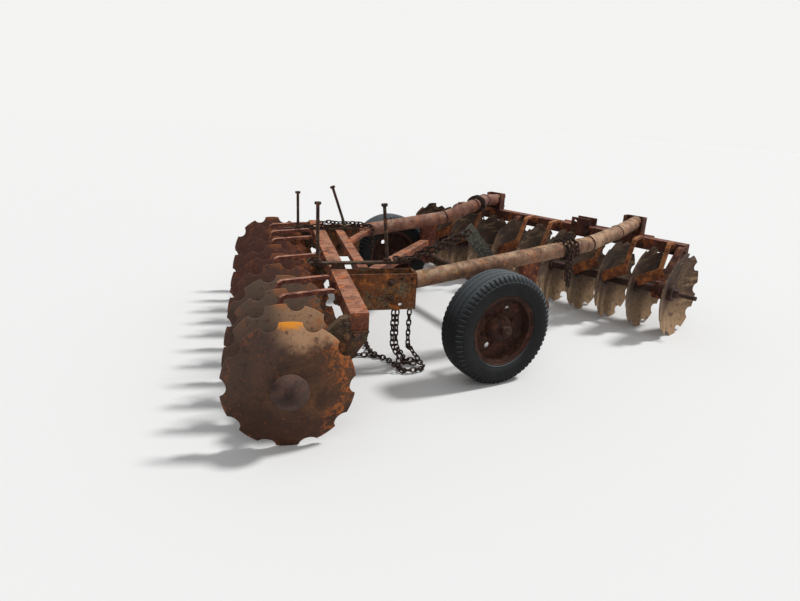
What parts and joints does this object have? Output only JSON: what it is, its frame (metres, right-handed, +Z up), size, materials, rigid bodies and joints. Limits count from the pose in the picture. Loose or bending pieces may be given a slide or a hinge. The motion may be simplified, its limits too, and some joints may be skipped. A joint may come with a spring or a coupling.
{
  "type": "offset disc harrow",
  "caption": "Rusty wheeled offset disc harrow: two angled gangs of notched discs under square beams, joined by cranked pipes, with a rockshaft carrying rubber-tyred wheels.",
  "frame": {"origin": "middle of the machine's box at ground level, under the discs and tyres", "axes": "+X forward in the direction of travel, +Y to the machine's left, +Z up"},
  "size_m": [3.667, 3.0132, 0.9943],
  "materials": {
    "rusty_steel": "matte rust",
    "dark_rust": "matte dark rust",
    "tan_rust": "worn and weathered",
    "weathered_steel": "rust under grey-green lichen",
    "disc_steel": "brown rust, brighter at the rim",
    "cast_spool": "rough rust",
    "chain_steel": "dark rust",
    "rim_rust": "dull dark red over rust",
    "tyre": "worn and dusty"
  },
  "bodies": {
    "frame": {"rear_gang_beam": "rusty_steel", "front_gang_beam": "rusty_steel", "right_main_pipe": "rusty_steel", "left_main_pipe": "rusty_steel", "right_clamp_bar": "dark_rust", "left_clamp_bar": "dark_rust", "right_side_plates": "weathered_steel", "left_side_plates": "weathered_steel", "rear_cross_bar": "rusty_steel", "rear_tie_bar": "rusty_steel", "long_bolts": "dark_rust", "diagonal_brace": "rusty_steel", "front_pipe_mounts": "rusty_steel", "hitch_bracket": "rusty_steel", "hitch_cross_bar": "rusty_steel", "rockshaft_hangers": "rusty_steel", "rear_hangers": "weathered_steel", "front_hangers": "rusty_steel", "rear_scrapers": "rusty_steel", "front_scrapers": "tan_rust", "lift_chain": "chain_steel", "right_pipe_chain": "chain_steel", "left_pipe_chain": "chain_steel", "hanging_chains": "chain_steel", "bar_chain": "chain_steel"},
    "rear_gang": {"rear_discs": "disc_steel", "rear_spools": "cast_spool", "rear_gang_bolt": "dark_rust"},
    "front_gang": {"front_discs": "tan_rust", "front_spools": "cast_spool", "front_gang_bolt": "dark_rust"},
    "rockshaft": {"rockshaft_tube": "rusty_steel", "lift_lever": "dark_rust", "wheel_arms": "dark_rust", "wheel_spindles": "dark_rust"},
    "right_wheel": {"right_tyre": "tyre", "right_rim": "rim_rust", "right_hub": "rim_rust"},
    "left_wheel": {"left_tyre": "tyre", "left_rim": "rim_rust", "left_hub": "rim_rust"}
  },
  "joints": [
    {"name": "rear_gang_turn", "type": "hinge", "parent": "frame", "child": "rear_gang", "pos_m": [-1.5394, -1.36862, 0.305], "axis": [0.2656, 0.9641, 0], "continuous": true},
    {"name": "front_gang_turn", "type": "hinge", "parent": "frame", "child": "front_gang", "pos_m": [1.5056, -1.04162, 0.305], "axis": [-0.2656, 0.9641, 0], "continuous": true},
    {"name": "wheel_lift", "type": "hinge", "parent": "frame", "child": "rockshaft", "pos_m": [0.2606, -0.23062, 0.335], "axis": [0, 1, 0], "range_deg": [-28, 15]},
    {"name": "right_wheel_turn", "type": "hinge", "parent": "rockshaft", "child": "right_wheel", "pos_m": [-0.2194, -1.14462, 0.331], "axis": [0, 1, 0], "continuous": true},
    {"name": "left_wheel_turn", "type": "hinge", "parent": "rockshaft", "child": "left_wheel", "pos_m": [-0.0014, 0.63938, 0.331], "axis": [0, 1, 0], "continuous": true}
  ]
}
